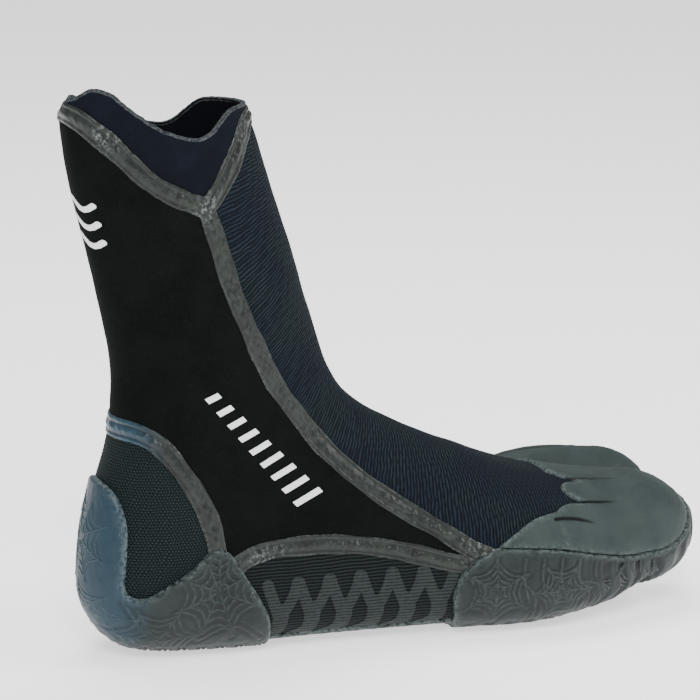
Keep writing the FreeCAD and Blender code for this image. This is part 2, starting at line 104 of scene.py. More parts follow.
CAP_TOP = [(70, -62), (67, -50)] + lobe(*LITTLE_LOBE, from_tip=True) + lobe(*SECOND_LOBE)[1:] + CAP_SWEEP
FOOTBED_TOP = [(-150, 16), (-128, 14.5), (-118, 11), (-88, 10.4), (66, 10.8), (80, 12.6),
               (94, 15.6), (110, 20), (125, 27)]
TOE_PARTING = [(60, 15), (84, 14.5), (89, 13.2), (96, 11.8), (112, 12), (190, 12.5)]
SIDE_PRINT = ((-93, 118), (-50, 70))
SIDE_PRINT_BARS = 9
SIDE_PRINT_HEIGHTS = (6.0, 13.0)
EMBLEM_CENTRE = (-3.0, 194.0)
EMBLEM_WAVES = (-8.0, 0.0, 8.0)
MIDFOOT_PRINT_START, MIDFOOT_PRINT_PITCH, MIDFOOT_PRINT_COUNT = -64.0, 14.5, 6
FAR = 400.0


def resample(points, steps=8):
    """Smooth curve through the points."""
    p = np.array(points, float)
    if len(p) < 3:
        return p
    out = []
    for i in range(len(p) - 1):
        p0, p1, p2, p3 = p[max(i - 1, 0)], p[i], p[i + 1], p[min(i + 2, len(p) - 1)]
        for s in np.arange(steps) / steps:
            out.append(0.5 * (2 * p1 + (p2 - p0) * s + (2 * p0 - 5 * p1 + 4 * p2 - p3) * s**2
                              + (3 * p1 - p0 - 3 * p2 + p3) * s**3))
    out.append(p[-1])
    return np.array(out)


def ring(row, count):
    fx, fz, bx, bz, cy, outer, inner, share, upper, lower = row
    length = math.hypot(fx - bx, fz - bz)
    ux, uz = (fx - bx) / length, (fz - bz) / length
    cx, cz = bx + share * (fx - bx), bz + share * (fz - bz)
    turn = 2 * np.pi * np.arange(count) / count
    co, si = np.cos(turn), np.sin(turn)
    w = np.where(co >= 0, inner, outer)
    h = np.where(si >= 0, length * (1 - share), length * share)
    q = np.where(si >= 0, upper, lower)
    th = np.arctan2(h * si, w * co)
    r = (np.abs(np.cos(th) / w) ** q + np.abs(np.sin(th) / h) ** q) ** (-1 / q)
    return np.stack([cx + r * np.sin(th) * ux, cy + r * np.cos(th), cz + r * np.sin(th) * uz], 1)


def nose_rows(first, tip, length):
    fx, fz, bx, bz, cy, outer, inner, share, upper, lower = first
    ty, tz = tip
    rows = []
    for degrees in NOSE_ANGLES:
        k, s = math.cos(math.radians(degrees)), math.sin(math.radians(degrees))
        left, right = ty + (cy - outer - ty) * k, ty + (cy + inner - ty) * k
        mid = ty + (cy - ty) * k
        rows.append((fx + length * s, tz + (fz - tz) * k, fx + length * s, tz + (bz - tz) * k,
                     mid, mid - left, right - mid, share, 2.1 + (upper - 2.1) * k, 2.1 + (lower - 2.1) * k))
    return rows


def closed_tube(rows, count=96, steps=5):
    """Vertices and faces of the surface through the rows, closed at both ends."""
    rows = resample(rows, steps)
    grid = np.array([ring(r, count) for r in rows])
    n = len(grid)
    verts = np.vstack([grid.reshape(-1, 3), grid[0].mean(0), grid[-1].mean(0)])
    faces = []
    for i in range(n - 1):
        for j in range(count):
            k = (j + 1) % count
            faces.append((i * count + j, i * count + k, (i + 1) * count + k, (i + 1) * count + j))
    for j in range(count):
        k = (j + 1) % count
        faces.append((n * count, k, j))
        faces.append((n * count + 1, (n - 1) * count + j, (n - 1) * count + k))
    return verts, faces


def mesh_from(name, verts, faces):
    mesh = bpy.data.meshes.new(name)
    mesh.from_pydata(verts.tolist(), [], [tuple(f) for f in faces])
    return mesh


def remeshed_body(voxel=1.15):
    """One closed skin round the foot, the leg and the big toe: vertices and triangles in mm."""
    stations = [s[:4] + (0.0,) + s[4:] for s in STATIONS]
    main = closed_tube(nose_rows(stations[0], NOSE_TIP, NOSE_LENGTH) + stations)
    toes = [(x, t, x, b, c, h, h) + BIG_SHAPE for x, t, b, c, h in BIG_TOE]
    big = closed_tube(nose_rows(toes[0], BIG_NOSE_TIP, BIG_NOSE_LENGTH) + toes)
    verts = np.vstack([main[0], big[0]])
    faces = main[1] + [tuple(i + len(main[0]) for i in f) for f in big[1]]
    work = bpy.data.objects.new("work_body", mesh_from("work_body", verts, faces))
    bpy.context.collection.objects.link(work)
    mod = work.modifiers.new("voxels", "REMESH")
    mod.mode, mod.voxel_size = "VOXEL", voxel
    done = work.evaluated_get(bpy.context.evaluated_depsgraph_get()).to_mesh()
    v = np.empty(len(done.vertices) * 3)
    done.vertices.foreach_get("co", v)
    done.calc_loop_triangles()
    t = np.empty(len(done.loop_triangles) * 3, np.int32)
    done.loop_triangles.foreach_get("vertices", t)
    bpy.data.objects.remove(work)
    return v.reshape(-1, 3), t.reshape(-1, 3).astype(np.int64)


def sorted_edges(tris):
    """The three edges of every triangle, each with its lower vertex number first."""
    return np.sort(np.vstack([tris[:, [0, 1]], tris[:, [1, 2]], tris[:, [2, 0]]]), 1)


def neighbour_mean(edges, values):
    n = len(values)
    count = np.bincount(edges.ravel(), minlength=n)
    out = np.empty_like(values)
    for c in range(values.shape[1]):
        total = np.bincount(edges[:, 0], values[edges[:, 1], c], n)
        out[:, c] = (total + np.bincount(edges[:, 1], values[edges[:, 0], c], n)) / np.maximum(count, 1)
    return out


def vertex_normals(verts, tris):
    n = np.cross(verts[tris[:, 1]] - verts[tris[:, 0]], verts[tris[:, 2]] - verts[tris[:, 0]])
    out = np.zeros_like(verts)
    for c in range(3):
        for k in range(3):
            out[:, c] += np.bincount(tris[:, k], n[:, c], len(verts))
    return out / np.maximum(np.linalg.norm(out, axis=1, keepdims=True), 1e-9)


def waves(p, count, low, high, seed):
    """Smooth field between about -1 and 1, from plane waves of lengths low to high."""
    rng = np.random.default_rng(seed)
    out = np.zeros(len(p))
    for _ in range(count):
        k = rng.normal(size=3)
        k *= 2 * np.pi / rng.uniform(low, high) / np.linalg.norm(k)
        out += np.sin(p @ k + rng.uniform(0, 2 * np.pi))
    return out / math.sqrt(count)


# ---- fields in the side view -------------------------------------------------------------
def outline(*chains):
    return np.vstack([resample(c) if len(c) > 2 else np.array(c, float) for c in chains])


def line_distance(q, line):
    """Distance of points q from a polyline, and the arc length of the nearest point."""
    best = np.full(len(q), 1e9)
    along = np.zeros(len(q))
    travelled = 0.0
    for a, b in zip(line[:-1], line[1:]):
        d = b - a
        size = np.hypot(*d)
        if size < 1e-9:
            continue
        t = np.clip(((q - a) @ d) / size**2, 0, 1)
        r = np.hypot(q[:, 0] - a[0] - t * d[0], q[:, 1] - a[1] - t * d[1])
        near = r < best
        best[near] = r[near]
        along[near] = travelled + t[near] * size
        travelled += size
    return best, along


def inside_distance(q, ring_points):
    """Signed distance from a closed outline, negative inside."""
    loop = np.vstack([ring_points, ring_points[:1]])
    best, _ = line_distance(q, loop)
    inside = np.zeros(len(q), bool)
    for a, b in zip(loop[:-1], loop[1:]):
        crosses = (a[1] > q[:, 1]) != (b[1] > q[:, 1])
        with np.errstate(divide="ignore", invalid="ignore"):
            x = a[0] + (q[:, 1] - a[1]) * (b[0] - a[0]) / (b[1] - a[1])
        inside ^= crosses & (q[:, 0] < x)
    return np.where(inside, -best, best)


# ---- pieces of a surface -------------------------------------------------------------------
class Surface:
    """Triangles whose vertices carry any number of named values."""

    def __init__(self, tris, data):
        self.tris, self.data = tris, data

    def take(self, key):
        return self.data[key]

    def clipped(self, field):
        """The part where field < 0, cut along field = 0."""
        f = np.where(np.abs(field) < 0.05, 0.0, field)
        keep = f <= 0
        k = keep[self.tris]
        whole = self.tris[k.all(1)]
        edges, new_tris = {}, []
        mixed = self.tris[k.any(1) & ~k.all(1)]
        pairs = []

        def cut(a, b):
            key = (a, b) if a < b else (b, a)
            if key not in edges:
                edges[key] = len(pairs)
                pairs.append(key)
            return -1 - edges[key]

        for tri in mixed.tolist():
            flags = [bool(keep[v]) for v in tri]
            if sum(flags) == 1:
                i = flags.index(True)
                a, b, c = tri[i], tri[(i + 1) % 3], tri[(i + 2) % 3]
                new_tris.append((a, cut(a, b), cut(c, a)))
            else:
                i = flags.index(False)
                a, b, c = tri[i], tri[(i + 1) % 3], tri[(i + 2) % 3]
                ab, ca = cut(a, b), cut(c, a)
                new_tris.append((ab, b, c))
                new_tris.append((ab, c, ca))
        base = len(field)
        if new_tris:
            extra = np.array(new_tris, np.int64)
            extra = np.where(extra < 0, base - 1 - extra, extra)
            tris = np.vstack([whole, extra])
        else:
            tris = whole
        pair = np.array(pairs, np.int64).reshape(-1, 2)
        fa, fb = f[pair[:, 0]], f[pair[:, 1]]
        t = np.clip(fa / np.where(np.abs(fa - fb) < 1e-9, 1, fa - fb), 0, 1)
        data = {}
        for name, value in self.data.items():
            tt = t[:, None] if value.ndim == 2 else t
            data[name] = np.concatenate([value, value[pair[:, 0]] * (1 - tt) + value[pair[:, 1]] * tt])
        used = np.unique(tris)
        index = np.full(base + len(pair), -1)
        index[used] = np.arange(len(used))
        good = tris[:, 0] != tris[:, 1]
        return Surface(index[tris[good]], {n: v[used] for n, v in data.items()})

    def divided(self):
        """Every triangle in four."""
        u, where = np.unique(sorted_edges(self.tris), axis=0, return_inverse=True)
        where = where.reshape(3, -1) + len(self.take("p"))
        data = {n: np.concatenate([v, (v[u[:, 0]] + v[u[:, 1]]) / 2]) for n, v in self.data.items()}
        a, b, c = self.tris.T
        ab, bc, ca = where
        quarters = ((a, ab, ca), (ab, b, bc), (ca, bc, c), (ab, bc, ca))
        tris = np.concatenate([np.stack(s, 1) for s in quarters])
        return Surface(tris, data)

    def turned(self):
        """The same with its faces looking inwards."""
        return Surface(self.tris[:, ::-1].copy(), self.data)

    def with_field(self, name, value):
        return Surface(self.tris, {**self.data, name: value})


def shown(part, verts, name, slot, material, stands_for_node=True, **values):
    """A piece in the scene, in metres, with values for its material at its vertices."""
    tris = part.tris
    mesh = bpy.data.meshes.new(name)
    mesh.vertices.add(len(verts))
    mesh.vertices.foreach_set("co", ((verts + np.array([SHIFT_X, 0, 0])) * 0.001).ravel())
    mesh.loops.add(len(tris) * 3)
    mesh.loops.foreach_set("vertex_index", tris.ravel().astype(np.int32))
    mesh.polygons.add(len(tris))
    mesh.polygons.foreach_set("loop_start", np.arange(0, len(tris) * 3, 3, dtype=np.int32))
    mesh.polygons.foreach_set("use_smooth", np.full(len(tris), True))
    mesh.update(calc_edges=True)
    mesh.validate()
    for key, value in values.items():
        layer = mesh.attributes.new(key, "FLOAT", "POINT")
        layer.data.foreach_set("value", value.astype(np.float32))
    mesh.materials.append(material)
    obj = bpy.data.objects.new(name, mesh)
    bpy.context.collection.objects.link(obj)
    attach(obj, "root")
    if stands_for_node:
        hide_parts(name)
    return obj


# ---- the common skin ------------------------------------------------------------------------
def station_lengths(q):
    """Arc length along the front line and along the sole and back line, at each point's station."""
    stations = [s[:4] + (0.0,) + s[4:] for s in STATIONS]
    rows = resample(nose_rows(stations[0], NOSE_TIP, NOSE_LENGTH) + stations, 6)
    front, back = rows[:, 0:2], rows[:, 2:4]
    front_run = np.concatenate([[0], np.cumsum(np.hypot(*np.diff(front, axis=0).T))])
    back_run = np.concatenate([[0], np.cumsum(np.hypot(*np.diff(back, axis=0).T))])
    out_front, out_back = np.zeros(len(q)), np.zeros(len(q))
    before = None
    for i in range(len(rows)):
        d = front[i] - back[i]
        d = d / np.hypot(*d)
        c = (q[:, 0] - back[i, 0]) * d[1] - (q[:, 1] - back[i, 1]) * d[0]
        if before is not None:
            hit = (before < 0) & (c >= 0) | (before > 0) & (c <= 0)
            s = before[hit] / (before[hit] - c[hit])
            out_front[hit] = front_run[i - 1] + s * (front_run[i] - front_run[i - 1])
            out_back[hit] = back_run[i - 1] + s * (back_run[i] - back_run[i - 1])
        before = c
    return out_front, out_back


skin_p, skin_t = remeshed_body()
skin_e = np.unique(sorted_edges(skin_t), axis=0)
for _ in range(9):
    skin_p = skin_p + 0.5 * (neighbour_mean(skin_e, skin_p) - skin_p)
    skin_p = skin_p - 0.51 * (neighbour_mean(skin_e, skin_p) - skin_p)
skin_n = vertex_normals(skin_p, skin_t)
side_q = skin_p[:, [0, 2]]
top_q = skin_p[:, [0, 1]]

fields = {}
runs = {}
SEAM_LINES = {"back_arm": COLLAR_BACK_ARM, "front_arm": COLLAR_FRONT_ARM, "front_seam": FRONT_SEAM,
              "mid_seam": MIDFOOT_SEAM, "heel_seam": HEEL_SEAM}
for key, line in SEAM_LINES.items():
    fields[key], runs[key] = line_distance(side_q, resample(line))
SIDE_REGIONS = {
    "shaft": outline(COLLAR_BACK_ARM, FRONT_SEAM, MIDFOOT_SEAM[::-1], HEEL_SEAM[::-1]),
    "instep": outline(COLLAR_FRONT_ARM, [(84, 240), (84, 31)], FRONT_SEAM[::-1]),
    "heel": outline(HEEL_SEAM, [(-91, 9), (-165, 9)]),
    "midfoot": outline(MIDFOOT_SEAM, [(84, 31), (84, 7), (-91, 7)]),
    "heel_cup": outline(HEEL_CUP_EDGE, HEEL_CUP_FRONT, [(-190, -5), (-190, 80)]),
    "toe_rubber": outline(TOE_RUBBER_REAR, CAP_LINE, [(FAR, 52), (FAR, -5)]),
    "above_cap": outline(CAP_LINE, [(FAR, 52), (FAR, FAR), (35, FAR)]),
    "cap_flank": outline(CAP_SIDE, [(68, 0), (35, 0)]),
    "gaiter": outline(COLLAR_BACK_ARM, COLLAR_FRONT_ARM, COLLAR_RIM[::-1]),
    "under_rim": outline(COLLAR_RIM, [(FAR, 242), (FAR, -20), (-FAR, -20), (-FAR, 248)]),
    "under_collar": outline(COLLAR_BACK_ARM, COLLAR_FRONT_ARM,
                            [(FAR, 240), (FAR, -20), (-FAR, -20), (-FAR, 244)]),
}
for key, loop in SIDE_REGIONS.items():
    fields[key] = inside_distance(side_q, loop)
fields["cap_front"] = inside_distance(top_q, np.array(CAP_TOP + [(FAR, 62), (FAR, -62)], float))
fields["cap"] = np.maximum(fields["above_cap"], np.minimum(fields["cap_front"], fields["cap_flank"]))

# Neoprene is soft: it puffs a little between its seams and waves slowly.
seam = np.minimum.reduce([fields[key] for key in SEAM_LINES])
calm = np.clip((skin_p[:, 2] - 8) / 30, 0, 1) * np.clip((70 - skin_p[:, 0]) / 40, 0, 1)
swell = 0.40 * waves(skin_p, 7, 34, 80, 3) + 0.12 * waves(skin_p, 7, 12, 24, 5)
skin_p = skin_p + skin_n * (calm * (swell - 0.7 * np.exp(-((seam / 5.0) ** 2))))[:, None]
for _ in range(2):
    skin_p = skin_p + 0.5 * (neighbour_mean(skin_e, skin_p) - skin_p)
skin_n = vertex_normals(skin_p, skin_t)
for _ in range(2):
    skin_n = skin_n + neighbour_mean(skin_e, skin_n)
    skin_n /= np.linalg.norm(skin_n, axis=1, keepdims=True)

front_run, back_run = station_lengths(side_q)
data = {"p": skin_p, "n": skin_n, "front_run": front_run, "back_run": back_run}
data.update(fields)
data.update({"run_" + k: v for k, v in runs.items()})
SKIN = Surface(skin_t, data)
SKIN_TREE = BVHTree.FromPolygons(skin_p.tolist(), skin_t.tolist())


def smooth_step(x):
    x = np.clip(x, 0, 1)
    return x * x * (3 - 2 * x)


def rounded(d, radius):
    """Height from 0 to 1 of an edge that is rolled over a radius, at a distance d inside it."""
    t = np.clip(d / radius, 0, 1)
    return np.sqrt(1 - (1 - t) ** 2)


def cut(field, divide=0):
    """The skin where a field is negative; the result carries the depth inside it."""
    part = SKIN.with_field("f", field).clipped(field)
    for _ in range(divide):
        part = part.divided()
    return part


def lifted(part, height, drop=0.0):
    """Vertices moved out by a height, with more under the foot, never below the ground."""
    n = part.take("n")
    under = np.clip(-n[:, 2], 0, 1) ** 2
    v = part.take("p") + n * (height + drop * under)[:, None]
    v[:, 2] = np.maximum(v[:, 2], 0.0)
    return v


def at(point, direction):
    """Where a ray meets the skin: the point and the smooth normal."""
    hit, _, index, _ = SKIN_TREE.ray_cast(Vector(point), Vector(direction))
    if hit is None:
        return None
    tri = skin_t[index]
    p = np.array(hit)
    weights = 1 / (np.linalg.norm(skin_p[tri] - p, axis=1) + 1e-3)
    n = (skin_n[tri] * weights[:, None]).sum(0)
    return p, n / np.linalg.norm(n)


def landed(rays):
    """What at() gives for each ray that meets the skin."""
    hits = [at(point, direction) for point, direction in rays]
    return [hit for hit in hits if hit is not None]


def travelled(line):
    """Distance along a line, at each of its points."""
    return np.concatenate([[0], np.cumsum(np.linalg.norm(np.diff(line, axis=0), axis=1))])


def even(line, spacing):
    """Points at an even spacing along a line."""
    line = np.array(line, float)
    run = travelled(line)
    at_runs = np.linspace(0, run[-1], max(int(run[-1] / spacing) + 1, 3))
    return np.stack([np.interp(at_runs, run, line[:, c]) for c in range(line.shape[1])], 1)


def on_side(line, side, spacing=0.8):
    """Points and normals of the skin under a side-view line, on the outer (-1) or inner (1) side."""
    return landed(((x, side * 200, z), (0, -side, 0)) for x, z in even(line, spacing))


def on_back(line, spacing=0.8):
    """The same for a (y, z) line behind the boot."""
    return landed(((-300, y, z), (1, 0, 0)) for y, z in even(line, spacing))


def on_top(line, spacing=0.8):
    """The same for an (x, y) line above the boot."""
    return landed(((x, y, 300), (0, 0, -1)) for x, y in even(line, spacing))


def ribbon(points, width, height, lift, taper=1.5):
    """Domed strip along points of the skin: vertices and triangles."""
    profile = 5
    if len(points) < 3:
        return np.zeros((0, 3)), np.zeros((0, 3), np.int64)
    p = np.array([a for a, _ in points])
    n = np.array([b for _, b in points])
    t = np.gradient(p, axis=0)
    t /= np.maximum(np.linalg.norm(t, axis=1, keepdims=True), 1e-9)
    b = np.cross(n, t)
    run = travelled(p)
    end = np.minimum(run, run[-1] - run)
    grow = rounded(end + 0.05, taper)
    s = np.linspace(-1, 1, profile)
    dome = np.sqrt(np.maximum(1 - s**2, 0))
    offset = lift - 0.15 + (height * grow)[:, None] * dome[None, :]
    verts = p[:, None, :] + b[:, None, :] * (s[None, :, None] * (width / 2 * grow)[:, None, None])
    verts = verts + n[:, None, :] * offset[:, :, None]
    tris = []
    for i in range(len(p) - 1):
        for j in range(profile - 1):
            a, c = i * profile + j, (i + 1) * profile + j
            tris += [(a, a + 1, c), (a + 1, c + 1, c)]
    return verts.reshape(-1, 3), np.array(tris, np.int64)


def joined(meshes):
    """Several (vertices, triangles) as one."""
    verts, tris, base = [], [], 0
    for v, t in meshes:
        verts.append(v)
        tris.append(t + base)
        base += len(v)
    return np.vstack(verts), np.vstack(tris)


# ---- materials ---------------------------------------------------------------------------------
class Graph:
    """A material's nodes.  Every length in it is in millimetres."""

    def __init__(self, name, roughness, specular):
        self.material = bpy.data.materials.new(name)
        self.material.use_nodes = True
        self.tree = self.material.node_tree
        self.shader = self.tree.nodes["Principled BSDF"]
        self.shader.inputs["Roughness"].default_value = roughness
        self.shader.inputs["Specular IOR Level"].default_value = specular
        place = self.tree.nodes.new("ShaderNodeTexCoord")
        scale = self.tree.nodes.new("ShaderNodeVectorMath")
        scale.operation = "SCALE"
        scale.inputs["Scale"].default_value = 1000.0
        self.link(place.outputs["Object"], scale.inputs[0])
        self.mm = scale.outputs[0]

    def link(self, a, b):
        self.tree.links.new(a, b)

    def value(self, name):
        node = self.tree.nodes.new("ShaderNodeAttribute")
        node.attribute_name = name
        return node.outputs["Fac"]

    def do(self, operation, *inputs, clamp=False):
        node = self.tree.nodes.new("ShaderNodeMath")
        node.operation = operation
        node.use_clamp = clamp
        for socket, value in zip(node.inputs, inputs):
            if isinstance(value, (int, float)):
                socket.default_value = value
            else:
                self.link(value, socket)
        return node.outputs[0]

    def noise(self, size, detail=3.0):
        """Noise about 0.5 whose features are about size mm wide."""
        node = self.tree.nodes.new("ShaderNodeTexNoise")
        node.inputs["Scale"].default_value = 1.0 / size
        node.inputs["Detail"].default_value = detail
        node.inputs["Roughness"].default_value = 0.55
        self.link(self.mm, node.inputs["Vector"])
        return node.outputs["Fac"]

    def wave(self, length_mm, pitch):
        """Sine of a length, from 0 to 1."""
        turn = self.do("MULTIPLY_ADD", length_mm, 2 * math.pi / pitch, 0.0)
        return self.do("MULTIPLY_ADD", self.do("SINE", turn), 0.5, 0.5)

    def step(self, value, low, high):
        node = self.tree.nodes.new("ShaderNodeMapRange")
        node.interpolation_type = "SMOOTHSTEP"
        self.link(value, node.inputs["Value"])
        node.inputs["From Min"].default_value = low
        node.inputs["From Max"].default_value = high
        return node.outputs["Result"]

    def blend(self, share, a, b):
        node = self.tree.nodes.new("ShaderNodeMix")
        node.data_type = "RGBA"
        self.link(share, node.inputs["Factor"])
        for socket, colour in ((node.inputs["A"], a), (node.inputs["B"], b)):
            if isinstance(colour, tuple):
                socket.default_value = (*colour, 1.0)
            else:
                self.link(colour, socket)
        return node.outputs["Result"]

    def colour(self, source):
        self.link(source, self.shader.inputs["Base Color"])

    def rough(self, source):
        self.link(source, self.shader.inputs["Roughness"])

    def bump(self, height_mm, depth_mm):
        """Bump from a height of 0 to 1 that is depth_mm deep; calls add up."""
        node = self.tree.nodes.new("ShaderNodeBump")
        node.inputs["Distance"].default_value = depth_mm * 0.001
        self.link(height_mm, node.inputs["Height"])
        normal = self.shader.inputs["Normal"]
        if normal.is_linked:
            self.link(normal.links[0].from_socket, node.inputs["Normal"])
        self.link(node.outputs["Normal"], normal)


def jersey_material(name, roughness, specular, grain_size, cloud_size, tones, loops, loops_full, depth):
    """Smooth neoprene jersey: fine knit loops over a cloudy tone, almost without shine."""
    g = Graph(name, roughness, specular)
    grain = g.noise(grain_size, 2.0)
    base = g.blend(g.step(g.noise(cloud_size, 3.0), 0.3, 0.7), *tones)
    g.colour(g.blend(g.step(grain, 0.55, loops_full), base, loops))
    g.bump(grain, depth)
    return g.material


def rib_material():
    """Stretch knit with wavy ribs across the foot, broken into staggered dashes."""
    g = Graph("neoprene_rib", 0.8, 0.12)
    wobble = g.noise(8.0, 2.0)
    length = g.do("MULTIPLY_ADD", wobble, 2.2, g.value("rib"))
    across = g.do("MULTIPLY_ADD", g.noise(5.0, 2.0), 2.5, g.value("across"))
    row = g.do("FLOOR", g.do("DIVIDE", length, 1.55))
    ribs = g.step(g.wave(length, 1.55), 0.05, 0.8)
    dash = g.step(g.wave(g.do("MULTIPLY_ADD", row, 1.9, across), 4.2), 0.03, 0.42)
    height = g.do("MULTIPLY", ribs, g.do("MULTIPLY_ADD", dash, 0.65, 0.35))
    fine = g.noise(0.4, 2.0)
    shade = g.do("MULTIPLY_ADD", fine, 0.45, g.do("MULTIPLY", height, 0.8))
    tint = g.blend(g.step(g.noise(26.0, 2.0), 0.38, 0.62), (0.0080, 0.0135, 0.0235), (0.0105, 0.0195, 0.0245))
    g.colour(g.blend(g.step(shade, 0.15, 0.95), (0.0010, 0.0018, 0.0036), tint))
    g.bump(height, 0.45)
    g.bump(fine, 0.10)
    return g.material


def heel_knit_material():
    """Tough knit with a small grid of loops."""
    g = Graph("heel_knit", 0.8, 0.15)
    wobble = g.noise(6.0, 2.0)
    up = g.do("MULTIPLY_ADD", wobble, 1.6, g.value("height"))
    around = g.do("MULTIPLY_ADD", wobble, 2.6, g.value("around"))
    row = g.do("FLOOR", g.do("DIVIDE", up, 1.25))
    loops = g.wave(g.do("MULTIPLY_ADD", row, 0.75, around), 1.5)
    rows = g.wave(up, 1.25)
    height = g.do("MULTIPLY", g.do("MULTIPLY_ADD", rows, 0.7, 0.3), g.do("MULTIPLY_ADD", loops, 0.8, 0.2))
    g.colour(g.blend(g.step(height, 0.1, 0.85), (0.0008, 0.0016, 0.0017), (0.013, 0.027, 0.029)))
    g.bump(height, 0.35)
    g.bump(g.noise(0.35, 2.0), 0.08)
    return g.material


def midfoot_knit_material():
    """Fine level ribs."""
    g = Graph("midfoot_knit", 0.8, 0.15)
    up = g.do("MULTIPLY_ADD", g.noise(9.0, 2.0), 1.2, g.value("height"))
    rows = g.wave(up, 1.5)
    loops = g.wave(g.value("around"), 1.1)
    height = g.do("MULTIPLY", rows, g.do("MULTIPLY_ADD", loops, 0.25, 0.75))
    g.colour(g.blend(g.step(height, 0.25, 0.85), (0.0006, 0.0011, 0.0011), (0.010, 0.018, 0.017)))
    g.bump(height, 0.4)
    return g.material


def rubber_material(name, low, high, pale, roughness, grain_size, grain_depth):
    """Moulded rubber: cloudy tone, fine grain, rubbed edges with a painted glint, and painted shade."""
    g = Graph(name, roughness, 0.25)
    cloud = g.noise(16.0, 4.0)
    grain = g.noise(grain_size, 3.0)
    base = g.blend(g.step(cloud, 0.3, 0.7), low, high)
    # Paler patches: rubbed edges with a painted glint on them, and painted highlight on the raised lines.
    worn = g.do("MULTIPLY", g.value("worn"), g.step(g.noise(1.6, 3.0), 0.35, 0.62), clamp=True)
    tone = g.blend(worn, g.blend(g.do("MULTIPLY", g.value("blue"), 0.75), base, (0.008, 0.033, 0.054)), pale)
    # Painted shade: near black in the creases, the lug grooves and the valleys beside the raised lines.
    dark = g.blend(g.value("dark"), tone, (0.006, 0.007, 0.008))
    g.colour(g.blend(g.step(grain, 0.70, 0.95), dark, pale))
    g.rough(g.do("MULTIPLY_ADD", cloud, 0.25, roughness - 0.125))
    g.bump(grain, grain_depth)
    g.bump(g.noise(4.5, 3.0), 0.25)
    return g.material


def tape_material():
    """Liquid seam rubber: half glossy, wrinkled, with cloudy tone, pale edges, painted glints and painted
    shade.
    """
    g = Graph("tape_rubber", 0.4, 0.3)
    cloud = g.noise(9.0, 4.0)
    ripple = g.noise(4.0, 2.0)
    base = g.blend(g.step(cloud, 0.3, 0.7), (0.005, 0.0075, 0.0062), (0.0145, 0.0200, 0.0165))
    # Pale rubbed edges and pale painted glints.
    edge = g.do("MULTIPLY", g.value("worn"), g.step(g.noise(1.4, 3.0), 0.4, 0.65), clamp=True)
    tone = g.blend(edge, base, (0.15, 0.17, 0.16))
    blue = g.blend(g.value("heel"), tone, (0.018, 0.050, 0.080))
    # Painted shade in the groove beside the tape's middle bead.
    g.colour(g.blend(g.value("dark"), blue, (0.012, 0.014, 0.014)))
    g.rough(g.do("MULTIPLY_ADD", ripple, 0.3, 0.24))
    g.bump(ripple, 0.4)
    g.bump(g.noise(0.8, 2.0), 0.03)
    return g.material


def plain_material(name, low, high, roughness, size, depth):
    g = Graph(name, roughness, 0.15 if roughness > 0.75 else 0.4)
    grain = g.noise(size, 3.0)
    g.colour(g.blend(g.step(grain, 0.3, 0.7), low, high))
    g.bump(grain, depth)
    return g.material


def grey_print_material():
    """A grey film on ribbed knit, so that the ribs still show."""
    g = Graph("print_grey", 0.7, 0.2)
    up = g.do("MULTIPLY_ADD", g.noise(9.0, 2.0), 1.2, g.value("height"))
    rows = g.do("MULTIPLY_ADD", g.noise(2.0, 3.0), 0.9, g.do("MULTIPLY", g.wave(up, 1.5), 0.6))
    g.colour(g.blend(g.step(rows, 0.35, 0.95), (0.0035, 0.0055, 0.0055), (0.021, 0.029, 0.027)))
    g.bump(rows, 0.2)
    return g.material


JERSEY = jersey_material("neoprene_black", 0.9, 0.08, 0.45, 14.0,
                         ((0.0016, 0.0024, 0.0022), (0.0028, 0.0038, 0.0035)),
                         (0.0075, 0.0095, 0.0090), 0.75, 0.10)
GAITER = jersey_material("neoprene_navy", 0.85, 0.1, 0.5, 11.0,
                         ((0.0020, 0.0030, 0.0060), (0.0032, 0.0046, 0.0095)),
                         (0.006, 0.009, 0.016), 0.8, 0.08)
RIB, HEEL_KNIT, MID_KNIT = rib_material(), heel_knit_material(), midfoot_knit_material()
HEEL_RUBBER = rubber_material("outsole_rubber", (0.0062, 0.0108, 0.0106), (0.0145, 0.0220, 0.0212),
                              (0.12, 0.15, 0.15), 0.45, 0.9, 0.10)
CAP_RUBBER = rubber_material("cap_rubber", (0.016, 0.027, 0.026), (0.026, 0.040, 0.038),
                             (0.11, 0.14, 0.135), 0.6, 0.75, 0.18)
TAPE = tape_material()
FOAM_EDGE = plain_material("foam_edge", (0.012, 0.016, 0.020), (0.060, 0.068, 0.070), 0.8, 1.2, 0.2)
FLEECE = plain_material("fleece", (0.0015, 0.002, 0.003), (0.005, 0.006, 0.008), 0.95, 0.8, 0.35)
# The navy neoprene again, darker and without loops: painted shade for the inside of the collar.
INNER_PAINTED_SHADE = plain_material("inner_jersey_painted_shade", (0.0012, 0.0018, 0.0035), (0.0028, 0.0038, 0.0065), 0.9, 0.6, 0.1)
FOOTBED = plain_material("footbed_foam", (0.010, 0.011, 0.012), (0.030, 0.032, 0.034), 0.9, 1.0, 0.2)
WHITE_PRINT = plain_material("print_white", (0.74, 0.75, 0.74), (0.86, 0.86, 0.85), 0.45, 0.8, 0.04)
GREY_PRINT = grey_print_material()
THREAD = plain_material("thread", (0.02, 0.03, 0.03), (0.26, 0.29, 0.29), 0.6, 0.7, 0.3)


# ---- pieces ------------------------------------------------------------------------------------
COVERED = 2.5  # how far a panel runs on under what covers its edge


def panel(name, field, slot, material, height=0.0):
    """A neoprene panel.  It runs on a little under whatever covers its edge."""
    part = cut(field, 1 if height == 0 else 0)
    p = part.take("p")
    verts = p + part.take("n") * height
    values = {"rib": 0.85 * part.take("front_run") + 0.15 * part.take("back_run"),
              "across": np.abs(p[:, 1]) + 0.35 * p[:, 2] * (p[:, 0] < -20),
              "height": p[:, 2], "around": np.arctan2(p[:, 1], -(p[:, 0] + 100)) * 34.0}
    return shown(part, verts, name, slot, material, **values)


